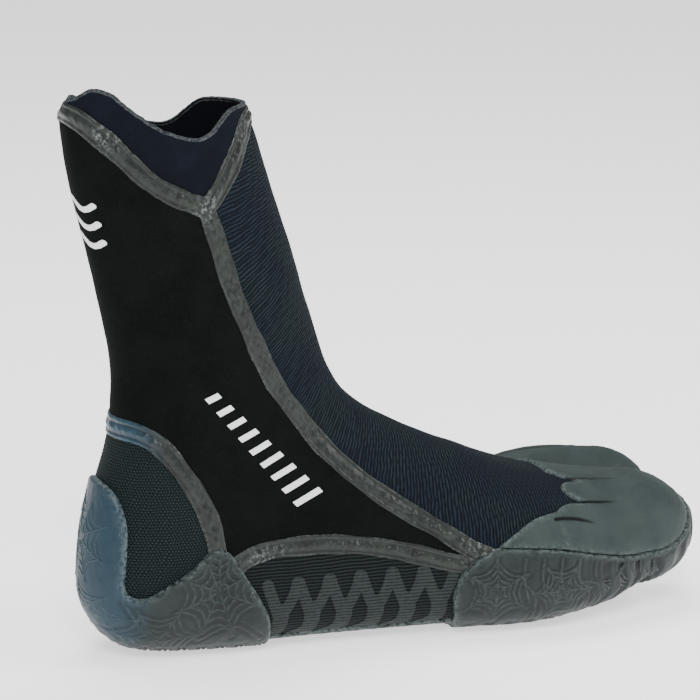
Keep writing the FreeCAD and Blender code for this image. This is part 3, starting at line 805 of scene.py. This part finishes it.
# The rim dips a little at the inner side of the back.
inner_rear = smooth_step((skin_p[:, 1] + 10) / 16) * smooth_step((-118 - skin_p[:, 0]) / 16)
RIM_FIELD = SKIN.take("under_rim") + 7 * inner_rear
SKIN.data["under_rim"] = RIM_FIELD
panel("shaft_panel", np.maximum(SKIN.take("shaft") - COVERED, RIM_FIELD + 1), "neoprene_black", JERSEY)
panel("instep_panel", np.maximum(SKIN.take("instep") - COVERED, skin_p[:, 0] - 88), "neoprene_rib", RIB)
panel("heel_panel", SKIN.take("heel") - COVERED, "heel_knit", HEEL_KNIT)
for side, word in ((-1, "lateral"), (1, "medial")):
    part = cut(np.maximum(SKIN.take("midfoot") - 2.0, -side * skin_p[:, 1]), 1)
    p = part.take("p")
    shown(part, p, "midfoot_panel_" + word, "midfoot_knit", MID_KNIT, height=p[:, 2], around=p[:, 0])
parting = np.interp(skin_p[:, 0], *np.array(TOE_PARTING, float).T)
past_parting = skin_p[:, 1] - parting
for name, beyond in (("toe_box_small_toes", past_parting), ("toe_box_big_toe", -past_parting)):
    panel(name, np.maximum(80 - skin_p[:, 0], beyond), "neoprene_black", JERSEY, -0.4)
panel("sole_panel", np.maximum(skin_p[:, 2] - 9.5, skin_p[:, 0] - 84), "neoprene_black", JERSEY, -0.3)


# ---- the collar ----------------------------------------------------------------------------------
def border_loop(part, key):
    """The closed border of a part where a field is zero, as ordered vertex numbers."""
    u, count = np.unique(sorted_edges(part.tris), axis=0, return_counts=True)
    lone = u[count == 1]
    near = np.abs(part.take(key)) < 0.4
    lone = lone[near[lone].all(1)]
    links = {}
    for a, b in lone.tolist():
        links.setdefault(a, []).append(b)
        links.setdefault(b, []).append(a)
    start = max(links, key=lambda v: part.take("p")[v, 2])
    loop, here, last = [start], links[start][0], start
    while here != start and len(loop) < 5000:
        loop.append(here)
        onward = [v for v in links[here] if v != last]
        if not onward:
            break
        last, here = here, onward[0]
    return np.array(loop)


def loop_smoothed(values, times):
    for _ in range(times):
        values = (np.roll(values, 1, 0) + 2 * values + np.roll(values, -1, 0)) / 4
    return values


gaiter_field = np.maximum(np.maximum(RIM_FIELD, SKIN.take("gaiter") - 3.0), 190 - skin_p[:, 2])
collar = cut(gaiter_field, 1)
inside_depth = 2.0 + 2.2 * smooth_step((collar.take("gaiter") + 1.0) / 3.0)
inner = collar.take("p") - collar.take("n") * inside_depth[:, None]
shown(collar, collar.take("p"), "collar_gaiter", "neoprene_navy", GAITER)
# Its inside face gets the darker copy: painted shade inside the collar.
shown(collar.turned(), inner, "collar_gaiter_inside", "neoprene_navy", INNER_PAINTED_SHADE, stands_for_node=False)

rim_cut = cut(np.maximum(RIM_FIELD, 215 - skin_p[:, 2]))
loop = border_loop(rim_cut, "under_rim")
rim_p = loop_smoothed(rim_cut.take("p")[loop], 6)
rim_n = loop_smoothed(rim_cut.take("n")[loop], 10)
rim_n /= np.linalg.norm(rim_n, axis=1, keepdims=True)
rim_t = np.roll(rim_p, -1, 0) - np.roll(rim_p, 1, 0)
rim_t /= np.linalg.norm(rim_t, axis=1, keepdims=True)
rim_u = np.cross(rim_t, rim_n)
rim_u *= np.sign(rim_u[:, 2:3])
ragged = 0.10 * waves(rim_p, 8, 1.5, 5, 11)
RIM_PROFILE = [(-0.05, -1.3), (0.08, -0.7), (0.06, -0.15), (-0.25, 0.18),
               (-1.0, 0.30), (-1.75, 0.18), (-2.08, -0.15), (-2.1, -1.3)]
rings = [rim_p + rim_n * a + rim_u * (b + ragged)[:, None] for a, b in RIM_PROFILE]
rim_verts = np.array(rings).transpose(1, 0, 2)
count, width = rim_verts.shape[:2]
rim_tris = []
for i in range(count):
    k = (i + 1) % count
    for j in range(width - 1):
        a, b, c, d = i * width + j, i * width + j + 1, k * width + j, k * width + j + 1
        rim_tris += [(a, b, c), (b, d, c)]
shown(Surface(np.array(rim_tris), {}), rim_verts.reshape(-1, 3), "collar_rim_edge", "foam_edge", FOAM_EDGE)


# ---- the inside ------------------------------------------------------------------------------------
lining = cut(SKIN.take("under_collar") - 0.5)
lining_verts = lining.take("p") - lining.take("n") * 4.1
shown(lining.turned(), lining_verts, "sock_lining", "fleece", FLEECE)

bed_line = resample(FOOTBED_TOP)
bed_z = np.interp(skin_p[:, 0], bed_line[:, 0], bed_line[:, 1])
bed = cut(np.maximum(skin_p[:, 2] + np.clip(-skin_n[:, 2], 0, 1) * 4.1 - bed_z, skin_n[:, 2] - 0.5), 1)
bed_verts = bed.take("p") - bed.take("n") * 4.3
bed_top = np.interp(bed_verts[:, 0], bed_line[:, 0], bed_line[:, 1])
bed_verts[:, 2] = bed_top + 0.15 * waves(bed_verts, 5, 10, 30, 21)
shown(bed.turned(), bed_verts, "footbed", "footbed_foam", FOOTBED)


# ---- the seam tapes -----------------------------------------------------------------------------------
GLINT_SPOTS = [(*NOTCH, 6), (30, 42, 9), (-70, 43, 8), (-135, 233, 6)]  # x, z and size of painted glints: pale patches of painted highlight on the tapes


def tape(name, line, keep, height, heel=False):
    """A domed strip of seam rubber over a seam line, where keep is negative."""
    run = SKIN.take("run_" + line)
    rng = np.random.default_rng(len(name))
    width = 4.35 + 0.22 * np.sin(run / 7.3 + rng.uniform(0, 6)) + 0.15 * np.sin(run / 2.9 + rng.uniform(0, 6))
    part = cut(np.maximum(SKIN.take(line) - width, keep), 2)
    d, middle, p = -part.take("f"), part.take(line), part.take("p")
    wrinkle = waves(p, 9, 2.5, 8, 31)
    h = height * rounded(d, 1.7) * (0.82 + 0.10 * wrinkle)
    h += 0.6 * np.exp(-((middle / 1.3) ** 2)) * (0.85 + 0.2 * wrinkle)
    h -= 0.25 * np.exp(-(((middle - 2.4) / 0.6) ** 2)) + 0.25 * (1 - rounded(d, 0.5))
    # Pale rubbed edges, and round each listed spot a pale patch of painted highlight.
    tape_wear_and_glint = 0.55 * np.exp(-np.maximum(d, 0) / 0.5) * smooth_step(0.5 + 0.8 * waves(p, 6, 12, 40, 61))
    for sx, sz, size in GLINT_SPOTS:
        near = np.exp(-(((p[:, 0] - sx) ** 2 + (p[:, 2] - sz) ** 2) / size**2))
        tape_wear_and_glint = np.maximum(tape_wear_and_glint, near * smooth_step(0.5 + 0.9 * waves(p, 7, 1.6, 5, 71)))
    # The darkened line in the groove beside the middle bead is painted shade.
    values = {"worn": tape_wear_and_glint, "dark": 0.55 * np.exp(-(((middle - 2.4) / 0.7) ** 2)),
              "heel": smooth_step((-112 - p[:, 0]) / 16) * (0.8 if heel else 0.0)}
    shown(part, p + part.take("n") * h[:, None], name, "tape_rubber", TAPE, **values)


x, y, z = skin_p.T
below_rim = RIM_FIELD + 0.8
tape("collar_tape_rear", "back_arm", np.maximum(below_rim, x + 91), 1.25)
tape("collar_tape_front", "front_arm", np.maximum(below_rim, -97 - x), 1.2)
covered = -np.minimum(SKIN.take("toe_rubber"), SKIN.take("cap")) - 1.5
under_heel_cup = -SKIN.take("heel_cup") - 1.5
for side, word in ((-1, "lateral"), (1, "medial")):
    half = -side * y
    tape("front_seam_tape_" + word, "front_seam", np.maximum(half, covered), 1.1)
    tape("midfoot_seam_tape_" + word, "mid_seam", np.maximum.reduce([half, covered, under_heel_cup]), 1.0)
tape("heel_seam_tape", "heel_seam", under_heel_cup, 1.2, heel=True)


# ---- the moulded rubber -----------------------------------------------------------------------------
RUBBER, CAP = 2.6, 1.6


def web(centre, radii, spokes, phase=0.0, sag=0.16, rings=(0.25, 0.45, 0.65, 0.85)):
    """Lines of a spider's web: spokes, and threads that sag towards its centre."""
    (cx, cz), (rx, rz) = centre, radii
    angles = [phase + 2 * math.pi * i / spokes for i in range(spokes)]
    reach = (0.08, 0.5, 1.0)
    lines = [[(cx + rx * math.cos(a) * s, cz + rz * math.sin(a) * s) for s in reach] for a in angles]
    for r in rings:
        for a, b in zip(angles, angles[1:] + angles[:1]):
            b = b + 2 * math.pi if b < a else b
            m = (a + b) / 2
            k = r * (math.cos((b - a) / 2) - sag)
            lines.append([(cx + rx * r * math.cos(a), cz + rz * r * math.sin(a)),
                          (cx + rx * k * math.cos(m), cz + rz * k * math.sin(m)),
                          (cx + rx * r * math.cos(b), cz + rz * r * math.sin(b))])
    return lines


def kept_runs(line, region, margin=2.2):
    """The stretches of a side-view line that lie inside a region."""
    pts = even(resample(line, 6), 0.7)
    inside = inside_distance(pts, region) < -margin
    breaks = np.flatnonzero(np.diff(inside)) + 1
    stretches = zip(np.split(pts, breaks), np.split(inside, breaks))
    return [stretch for stretch, kept in stretches if kept[0] and len(stretch) > 3]


def raised_lines(lines, region, side, width=1.0):
    """Raised cords of rubber along the lines, on one side of the boot."""
    stretches = [stretch for line in lines for stretch in kept_runs(line, region)]
    rows = [on_side(stretch, side, 0.9) for stretch in stretches]
    return [ribbon(row, width, 0.42, RUBBER, taper=0.8) for row in rows if len(row) > 3]


def rubber(name, field, height, radius, slot, material, lines=(), drop=1.6, tread=True, shape=None, dark=None,
           beside=(), divide=1):
    """A moulded layer with rolled edges, raised lines and a grooved underside, as one piece."""
    part = cut(field, divide)
    d, p, n = -part.take("f"), part.take("p"), part.take("n")
    h = height * rounded(d, radius) - 0.3 * (1 - rounded(d, 0.4)) + 0.07 * waves(p, 8, 3, 9, 41)
    if shape is not None:
        h = h + shape(part)
    v = lifted(part, h, drop)
    if tread:
        flat = smooth_step((-n[:, 2] - 0.75) / 0.2)
        zig = np.abs((p[:, 0] / 9.0 + 0.35 * np.sin(p[:, 1] / 5.0)) % 1 - 0.5) * 9
        edge = np.clip(1 - np.abs(zig - 1.2) / 0.9, 0, 1)
        v[:, 2] += 0.9 * flat * smooth_step(edge * 1.6) * (np.abs(p[:, 1]) < 60)
    # Paler rolled edges: partly rubbed wear, partly a painted glint along the edge.
    worn = 0.9 * np.exp(-np.maximum(d, 0) / 1.0)
    # Painted shade from the caller, darkening creases and grooves.
    shade = np.zeros(len(v)) if dark is None else dark(part)
    if beside:
        q, near = p[:, [0, 2]], np.full(len(p), 1e9)
        for line in beside:
            near = np.minimum(near, line_distance(q, resample(line, 4))[0])
        # A shallow groove beside each raised line, also darkened with painted shade.
        valley = np.exp(-(((near - 1.3) / 0.75) ** 2)) * smooth_step((d - 1.5) / 2.0)
        shade = np.maximum(shade, 0.5 * valley)
        v -= n * (0.35 * valley)[:, None]
    verts, tris = joined([(v, part.tris), *lines])
    extra = len(verts) - len(v)
    # The raised lines get a little of the pale colour: painted highlight on their tops.
    worn = np.concatenate([worn, np.full(extra, 0.16)])
    shade = np.concatenate([shade, np.zeros(extra)])
    blue = smooth_step((-118 - verts[:, 0]) / 16)
    verts[:, 2] = np.maximum(verts[:, 2], 0.0)
    return shown(Surface(tris, {}), verts, name, slot, material, worn=worn, dark=shade, blue=blue)


def arc_groove(line):
    """Distance from a line on the skin for each vertex of a part."""
    pts = [p for p, _ in line]
    middle = np.mean([q[0] for q in pts])

    def measure(p):
        best = np.full(len(p), 1e9)
        share = np.zeros(len(p))
        near = np.abs(p[:, 0] - middle) < 32
        sub = p[near]
        b, s = best[near], share[near]
        for i, q in enumerate(pts):
            r = np.linalg.norm(sub - q, axis=1)
            hit = r < b
            b[hit], s[hit] = r[hit], i / (len(pts) - 1)
        best[near], share[near] = b, s
        return best, share
    return measure


heel_region = SIDE_REGIONS["heel_cup"]
toe_region = SIDE_REGIONS["toe_rubber"]
heel_web = web((-93, 33), (21, 22), 8, 0.39) + web((-118, 12), (20, 16), 7, 0.2)
heel_web += [[(-92, 52), (-93, 33)], [(-72, 10), (-86, 18), (-100, 12)], [(-131, 30), (-124, 18), (-112, 6)]]
toe_web = web((34, 22), (16, 15), 6, 0.5) + web((64, 20), (15, 13), 6, 0.0) + web((92, 16), (13, 11), 6, 0.4)
for i in range(9):
    px = 47 + i * 8.5
    toe_web.append([(px, 36 - i * 0.6), (px - 1.0, 27), (px + 1.5, 17)])
    toe_web.append([(px, 24), (px + 4.5, 18), (px + 3.5, 8)])
heel_lines = raised_lines(heel_web, heel_region, -1) + raised_lines(heel_web, heel_region, 1)
toe_lines = raised_lines(toe_web, toe_region, -1, 1.1) + raised_lines(toe_web, toe_region, 1, 1.1)
tongue = web((0, 54), (17, 21), 8, 0.39) + web((0, 22), (24, 14), 8, 0.0)
for line in tongue:
    pts = on_back(even(resample(line, 6), 0.7), 0.8)
    pts = [q for q in pts if inside_distance(q[0][None, [0, 2]], heel_region)[0] < -2.0]
    heel_lines.append(ribbon(pts, 1.0, 0.42, RUBBER, taper=0.8))
for i in range(-5, 6):
    py = i * 9.0
    for line in ([(py, 44), (py + 1, 34), (py - 1, 22)], [(py - 4, 24), (py, 17), (py + 4, 12)]):
        pts = []
        for a, b in even(resample(line, 6), 0.8):
            hit = at((300, a, b), (-1, 0, 0))
            if hit is not None and inside_distance(hit[0][None, [0, 2]], toe_region)[0] < -2.0:
                if not pts or np.linalg.norm(hit[0] - pts[-1][0]) < 4:
                    pts.append(hit)
        toe_lines.append(ribbon(pts, 1.2, 0.5, RUBBER, taper=0.8))


def lugs(part):
    """Rough upright lugs round the front of the toes: -1 in a groove, 1 on a lug."""
    p = part.take("p")
    front = smooth_step((p[:, 0] - 68) / 30) * smooth_step((part.take("above_cap") - 1.5) / 2.0)
    around = np.arctan2(p[:, 1] - 5, p[:, 0] - 60) * 62
    bend = 0.9 * np.sin(p[:, 2] / 3.6) + 0.5 * waves(p, 6, 10, 25, 81)
    return front * np.clip(np.sin(around / 1.5 + bend) * 1.8 + 0.5, -1, 1)


def toe_lugs(part):
    return 0.6 * lugs(part)


# Painted shade in the grooves between the toe lugs.
def toe_groove_painted_shade(part):
    return 0.75 * smooth_step(-lugs(part) * 1.6)


rubber("heel_outsole", SKIN.take("heel_cup"), RUBBER, 1.8, "outsole_rubber", HEEL_RUBBER, heel_lines,
       beside=heel_web)
rubber("forefoot_outsole", SKIN.take("toe_rubber"), RUBBER, 1.5, "outsole_rubber", HEEL_RUBBER, toe_lines,
       shape=toe_lugs, dark=toe_groove_painted_shade, beside=toe_web)
arch_field = np.maximum.reduce([z - 6.5, x - 26, -75 - x, -SKIN.take("heel_cup") - 1,
                                -SKIN.take("toe_rubber") - 1])
rubber("arch_sole", arch_field, 1.8, 1.2, "outsole_rubber", HEEL_RUBBER, drop=0.0, tread=False)

# Creases between the toes run forward from the cap's edge.  Each has the view it is drawn in, the start,
# the length, the sideways drift at its end, and its strength.
CREASES = [
    ("above", (74, SECOND_LOBE[3] + 2), 37, 3, 1.0),
    ("above", (74, LITTLE_LOBE[3]), 29, 2, 1.0),
    ("side", (64, 50), 22, -5, 1.0),
    ("above", (66, 30), 39, 1, 1.0),
    ("above", (62, 18), 16, 4, 0.7),
]


def crease_line(view, start, length, drift):
    """A gently bending line on the skin."""
    line = [(start[0] + length * t, start[1] + drift * t * t) for t in np.linspace(0, 1, 9)]
    return on_top(line, 0.5) if view == "above" else on_side(line, -1, 0.5)


measures = [(arc_groove(crease_line(view, start, length, drift)), weight)
            for view, start, length, drift, weight in CREASES]


def crease_amount(part):
    """How deep in a crease each vertex is, 0 to 1, worked out once for a part."""
    if "crease" not in part.data:
        total = np.zeros(len(part.take("p")))
        for measure, weight in measures:
            r, s = measure(part.take("p"))
            fade = smooth_step((1 - s) / 0.5)
            total = np.maximum(total, weight * fade * np.exp(-((r / (0.35 + 0.35 * fade)) ** 2)))
        part.data["crease"] = total
    return part.data["crease"]


def cap_shape(part):
    return -1.5 * crease_amount(part)


# Painted shade in the creases between the toes.
def cap_dark(part):
    return np.clip(crease_amount(part) * 1.8, 0, 1)


rubber("toe_cap", SKIN.take("cap"), CAP, 1.1, "cap_rubber", CAP_RUBBER, drop=0.0, tread=False,
       shape=cap_shape, dark=cap_dark, divide=2)


# ---- prints, stitches and the bead between the toes ------------------------------------------------
def film(name, near, exact, height, slot, material):
    """A thin printed film: the area where exact(part) is negative, cut from a finer area near it."""
    part = cut(near, 2)
    field = exact(part)
    part = part.with_field("f", field).clipped(field)
    p = part.take("p")
    h = height * rounded(-part.take("f"), 0.3)
    return shown(part, p + part.take("n") * h[:, None], name, slot, material, height=p[:, 2], around=p[:, 0])


def bar_outlines():
    (x0, z0), (x1, z1) = SIDE_PRINT
    length = math.hypot(x1 - x0, z1 - z0)
    ux, uz = (x1 - x0) / length, (z1 - z0) / length
    out = []
    for i in range(SIDE_PRINT_BARS):
        share = i / (SIDE_PRINT_BARS - 1)
        cx, cz = x0 + share * (x1 - x0), z0 + share * (z1 - z0)
        half = (SIDE_PRINT_HEIGHTS[0] * (1 - share) + SIDE_PRINT_HEIGHTS[1] * share) / 2
        lean, wide = 0.35 * half, 1.5
        corners = [(-wide - lean, -half), (wide - lean, -half), (wide + lean, half), (-wide + lean, half)]
        out.append(np.array([(cx + a * ux - b * uz, cz + a * uz + b * ux) for a, b in corners]))
    return out


BARS = bar_outlines()


def bars_field(part):
    q = part.take("p")[:, [0, 2]]
    return np.minimum.reduce([inside_distance(q, bar) for bar in BARS])


def waves_field(part):
    p = part.take("p")
    q = p[:, [1, 2]]
    cy, cz = EMBLEM_CENTRE
    best = np.full(len(p), 1e9)
    for dz in EMBLEM_WAVES:
        wave = [(cy + t, cz + dz + 2.2 * math.sin(t / 10 * math.pi)) for t in np.linspace(-10, 10, 9)]
        best = np.minimum(best, line_distance(q, np.array(wave))[0] - 1.3)
    return np.maximum(best, p[:, 0] + 110)


def zigzag_field(part):
    q = part.take("p")[:, [0, 2]]
    best = np.full(len(q), 1e9)
    for i in range(MIDFOOT_PRINT_COUNT):
        px = MIDFOOT_PRINT_START + MIDFOOT_PRINT_PITCH * i
        strokes = (([(px - 6.4, 33), (px - 4.4, 27), (px - 0.8, 18)], 2.7),
                   ([(px + 7.2, 33), (px + 5.4, 27), (px + 0.8, 18)], 2.7),
                   ([(px, 20), (px + 0.4, 15), (px, 10)], 3.8),
                   ([(px - 0.3, 12), (px - 2.6, 8.5), (px - 6.5, 6)], 2.6))
        for line, half in strokes:
            best = np.minimum(best, line_distance(q, resample(line, 5))[0] - half)
    free = np.maximum.reduce([4.2 - part.take("mid_seam"), -part.take("heel_cup"), -part.take("toe_rubber"),
                              6 - q[:, 1]])
    return np.maximum(best, free)


print_line = line_distance(side_q, np.array(SIDE_PRINT, float))[0] - 11
emblem_area = np.maximum(np.abs(z - EMBLEM_CENTRE[1]) - 16, x + 112)
film("back_emblem", emblem_area, waves_field, 0.22, "print_white", WHITE_PRINT)
for side, word in ((-1, "lateral"), (1, "medial")):
    half = -side * y
    film("side_print_" + word, np.maximum(print_line, half), bars_field, 0.22, "print_white", WHITE_PRINT)
    midfoot_area = np.maximum.reduce([np.abs(z - 22) - 20, np.abs(x + 30) - 52, half])
    film("midfoot_print_" + word, midfoot_area, zigzag_field, 0.28, "print_grey", GREY_PRINT)


def stitch_row(line, side, pitch, length, width, height, lift, seed):
    rng = np.random.default_rng(seed)
    pts = on_side(resample(line, 6), side, 0.45)
    run = np.concatenate([[0], np.cumsum([np.linalg.norm(b[0] - a[0]) for a, b in zip(pts, pts[1:])])])
    out = []
    start = 0.5
    while start + length < run[-1]:
        size = length * rng.uniform(0.5, 1.25)
        chosen = [q for q, r in zip(pts, run) if start <= r <= start + size]
        if len(chosen) > 3 and max(np.linalg.norm(b[0] - a[0]) for a, b in zip(chosen, chosen[1:])) < 2.5:
            out.append(ribbon(chosen, width * rng.uniform(0.8, 1.15), height, lift, taper=0.5))
        start += pitch * rng.uniform(0.75, 1.3)
    return out


def inset(points, distance):
    out = []
    for i, (px, pz) in enumerate(points):
        ax, az = points[max(i - 1, 0)]
        bx, bz = points[min(i + 1, len(points) - 1)]
        size = math.hypot(bx - ax, bz - az)
        out.append((px + (bz - az) / size * distance, pz - (bx - ax) / size * distance))
    return out


stitches = []
edge_line = inset(HEEL_CUP_EDGE + HEEL_CUP_FRONT[1:-1], 1.7)[2:-1]
for side in (-1, 1):
    stitches += stitch_row(edge_line, side, 1.9, 1.3, 0.6, 0.4, 2.35, 17 + side)
verts, tris = joined(stitches)
shown(Surface(tris, {}), verts, "heel_cup_stitching", "thread", THREAD)

# The bead is darkened all over: painted shade of the valley between the toe lobes.
groove = on_top(resample([(70, 15.5), (78, 15.6), (86, 14.6)], 6), 0.6)
verts, tris = ribbon(groove, 2.6, 0.55, 1.55)
shown(Surface(tris, {}), verts, "toe_split_bead", "tape_rubber", TAPE, worn=np.zeros(len(verts)),
      dark=np.full(len(verts), 0.4), heel=np.zeros(len(verts)))


# ---- camera and light ----------------------------------------------------------------------------
def camera():
    azimuth, elevation, distance = math.radians(-22), math.radians(13), 1.400
    back = Vector((math.sin(azimuth) * math.cos(elevation), -math.cos(azimuth) * math.cos(elevation),
                   math.sin(elevation)))
    target = Vector((-0.018 + SHIFT_X * 0.001, 0, 0.1265))
    data = bpy.data.cameras.new("camera")
    data.lens, data.sensor_width = 162.0, 36.0
    cam = bpy.data.objects.new("camera", data)
    cam.location = target + back * distance
    cam.rotation_mode = "QUATERNION"
    cam.rotation_quaternion = (-back).to_track_quat("-Z", "Y")
    bpy.context.collection.objects.link(cam)
    bpy.context.scene.camera = cam


def light(name, place, size, watts, colour=(1, 1, 1)):
    data = bpy.data.lights.new(name, "AREA")
    data.shape, data.size, data.size_y, data.energy, data.color = "RECTANGLE", size[0], size[1], watts, colour
    obj = bpy.data.objects.new(name, data)
    obj.location = place
    obj.rotation_mode = "QUATERNION"
    obj.rotation_quaternion = (Vector((0, 0, 0.1)) - Vector(place)).to_track_quat("-Z", "Y")
    bpy.context.collection.objects.link(obj)


def studio():
    world = bpy.data.worlds.new("studio")
    world.use_nodes = True
    world.node_tree.nodes["Background"].inputs["Color"].default_value = (1, 1, 1, 1)
    world.node_tree.nodes["Background"].inputs["Strength"].default_value = 0.45
    bpy.context.scene.world = world
    light("key", (-0.5, -1.2, 1.3), (0.7, 0.7), 25)
    light("front", (1.3, -0.7, 0.9), (0.6, 0.6), 15)
    light("top", (0.0, 0.5, 1.6), (1.0, 0.7), 20)
    verts = np.array([(-6, -6, 0), (6, -6, 0), (6, 6, 0), (-6, 6, 0)], float)
    mesh = bpy.data.meshes.new("floor")
    mesh.from_pydata(verts.tolist(), [], [(0, 1, 2, 3)])
    floor = bpy.data.objects.new("floor", mesh)
    g = Graph("floor", 0.9, 0.1)
    g.colour(g.blend(g.noise(90.0, 2.0), (0.93, 0.93, 0.93), (0.95, 0.95, 0.95)))
    g.shader.inputs["Emission Color"].default_value = (1, 1, 1, 1)
    g.shader.inputs["Emission Strength"].default_value = 1.0
    mesh.materials.append(g.material)
    bpy.context.collection.objects.link(floor)


camera()
studio()
